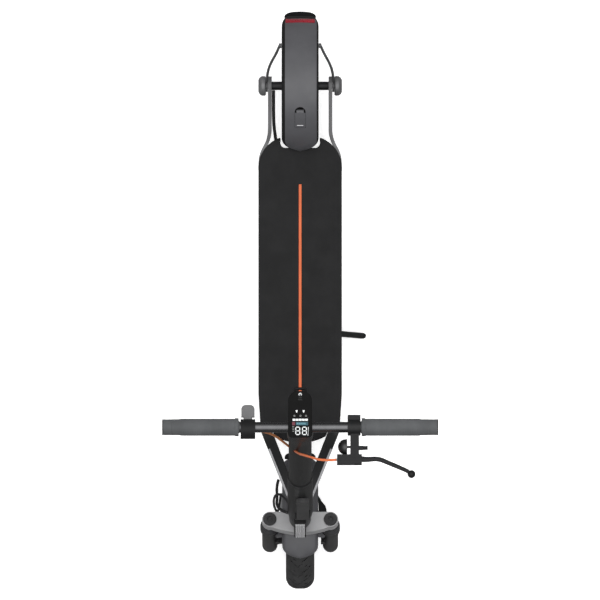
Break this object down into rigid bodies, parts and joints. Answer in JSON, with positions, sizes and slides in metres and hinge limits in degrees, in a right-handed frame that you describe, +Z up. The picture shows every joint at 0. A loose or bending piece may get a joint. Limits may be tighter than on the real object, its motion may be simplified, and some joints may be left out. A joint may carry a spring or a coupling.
{
  "type": "electric kick scooter",
  "caption": "Folding electric kick scooter with two-leg sprung fork, hub-motor rear wheel, battery deck, folding stem, dash display, thumb throttle, brake lever, bell and side kickstand.",
  "frame": {"origin": "on the ground, at the centre of the overall box's footprint", "axes": "+X forward, +Y to the rider's left, +Z up"},
  "size_m": [1.2194, 0.572, 1.2295],
  "materials": {
    "frame_black": "satin black powder coat",
    "deck_rubber": "matt moulded rubber",
    "orange_rubber": "matt",
    "steel": "brushed",
    "battery_wrap": "matt shrink wrap",
    "controller_alloy": "satin",
    "black_plastic": "matt",
    "fender_grey": "satin",
    "red_lens": "gloss",
    "stay_grey": "satin",
    "cap_grey": "satin",
    "cable_black": "matt",
    "tyre": "matt tread",
    "rim_grey": "satin",
    "crown_silver": "satin silver grey",
    "chrome": "polished",
    "cap_black": "satin",
    "fork_grey": "satin",
    "clear_lens": "clear ribbed",
    "brake_lining": "matt",
    "grip_rubber": "matt textured",
    "display_black": "gloss",
    "lever_black": "satin",
    "bell_black": "gloss",
    "orange_cable": "gloss sheath",
    "paddle_grey": "satin"
  },
  "bodies": {
    "root": {"deck_tray": "frame_black", "deck_plate": "frame_black", "deck_mat": "deck_rubber", "deck_inlay": "orange_rubber", "deck_screws": "steel", "battery_pack": "battery_wrap", "controller": "controller_alloy", "charge_port": "black_plastic", "front_arm_left": "frame_black", "front_arm_right": "frame_black", "head_tube": "frame_black", "headset_bearings": "steel", "rear_arm_left": "frame_black", "rear_arm_right": "frame_black", "rear_fender": "fender_grey", "tail_light": "red_lens", "fender_stays": "stay_grey", "axle_caps": "cap_grey", "motor_stator": "steel", "motor_cable": "cable_black", "kickstand_bracket": "frame_black"},
    "kickstand": {"kickstand_leg": "frame_black"},
    "fender_catch": {"fender_hook": "fender_grey"},
    "rear_wheel": {"rear_tyre": "tyre", "motor_shell": "rim_grey"},
    "steering": {"crown": "crown_silver", "stanchions": "chrome", "fork_caps": "cap_black", "fork_springs": "steel", "headlight_housing": "black_plastic", "headlight_lens": "clear_lens", "fold_base": "frame_black", "wiring_loom": "cable_black", "lower_brake_cable": "cable_black"},
    "fork_lowers": {"fork_sliders": "fork_grey", "front_fender": "fender_grey", "front_axle": "steel", "brake_plate": "fork_grey", "brake_shoes": "brake_lining"},
    "brake_arm": {"brake_arm": "steel"},
    "front_wheel": {"front_tyre": "tyre", "front_rim": "rim_grey", "front_bearings": "steel"},
    "stem": {"stem_base": "frame_black", "stem_tube": "frame_black", "handlebar": "frame_black", "grips": "grip_rubber", "bar_end_lights": "black_plastic", "dash_housing": "black_plastic", "dash_glass": "display_black", "brake_perch": "lever_black", "bell_dome": "bell_black", "throttle_housing": "black_plastic", "control_cables": "orange_cable"},
    "latch_lever": {"latch_lever": "lever_black"},
    "throttle_paddle": {"throttle_paddle": "paddle_grey"},
    "brake_lever": {"brake_lever": "lever_black"},
    "bell_lever": {"bell_lever": "black_plastic"},
    "signal_switch": {"signal_switch": "paddle_grey"},
    "power_button": {"power_button": "black_plastic"}
  },
  "joints": [
    {"name": "steering_turn", "type": "hinge", "parent": "root", "child": "steering", "pos_m": [0.45481, 0, 0.37059], "axis": [-0.225, 0, 0.9744], "range_deg": [-55, 55], "deforming": ["wiring_loom"]},
    {"name": "fork_travel", "type": "slide", "parent": "steering", "child": "fork_lowers", "axis": [-0.225, 0, 0.9744], "range_m": [0, 0.03], "stiffness_N_per_m": 12000, "springref_m": -0.02, "deforming": ["fork_springs", "lower_brake_cable"]},
    {"name": "front_wheel_spin", "type": "hinge", "parent": "fork_lowers", "child": "front_wheel", "pos_m": [0.48275, 0, 0.127], "axis": [0, 1, 0], "continuous": true},
    {"name": "rear_wheel_spin", "type": "hinge", "parent": "root", "child": "rear_wheel", "pos_m": [-0.45225, 0, 0.127], "axis": [0, 1, 0], "continuous": true},
    {"name": "stem_fold", "type": "hinge", "parent": "steering", "child": "stem", "pos_m": [0.41253, 0, 0.42036], "axis": [0, -1, 0], "range_deg": [0, 85]},
    {"name": "latch_open", "type": "hinge", "parent": "stem", "child": "latch_lever", "pos_m": [0.4554, 0, 0.51031], "axis": [0, 1, 0], "range_deg": [0, 60]},
    {"name": "brake_pull", "type": "hinge", "parent": "stem", "child": "brake_lever", "pos_m": [0.32889, 0.121, 1.21388], "axis": [-0.225, 0, 0.9744], "range_deg": [0, 15], "stiffness_Nm_per_rad": 3, "springref_deg": -17.19},
    {"name": "brake_arm_turn", "type": "hinge", "parent": "fork_lowers", "child": "brake_arm", "pos_m": [0.45941, -0.04, 0.14176], "axis": [0, 1, 0], "range_deg": [0, 15]},
    {"name": "throttle_press", "type": "hinge", "parent": "stem", "child": "throttle_paddle", "pos_m": [0.2636, -0.1085, 1.19881], "axis": [0, -1, 0], "range_deg": [0, 30], "stiffness_Nm_per_rad": 0.4, "springref_deg": -17.19},
    {"name": "bell_ring", "type": "hinge", "parent": "stem", "child": "bell_lever", "pos_m": [0.30648, 0.1265, 1.2087], "axis": [-0.225, 0, 0.9744], "range_deg": [0, 20], "stiffness_Nm_per_rad": 0.2, "springref_deg": -11.46},
    {"name": "signal_slide", "type": "slide", "parent": "stem", "child": "signal_switch", "axis": [0, 1, 0], "range_m": [-0.003, 0.003], "stiffness_N_per_m": 200},
    {"name": "power_press", "type": "slide", "parent": "stem", "child": "power_button", "axis": [0.225, 0, -0.9744], "range_m": [0, 0.001], "stiffness_N_per_m": 400, "springref_m": -0.001},
    {"name": "kickstand_swing", "type": "hinge", "parent": "root", "child": "kickstand", "pos_m": [0.07075, 0.076, 0.082], "axis": [0, 0.8258, 0.564], "range_deg": [0, 90]},
    {"name": "catch_lift", "type": "hinge", "parent": "root", "child": "fender_catch", "pos_m": [-0.39825, 0, 0.25833], "axis": [0, -1, 0], "range_deg": [0, 50]}
  ],
  "couplings": [
    {"joint": "brake_arm_turn", "follows": "brake_pull", "ratio": 0.8}
  ]
}
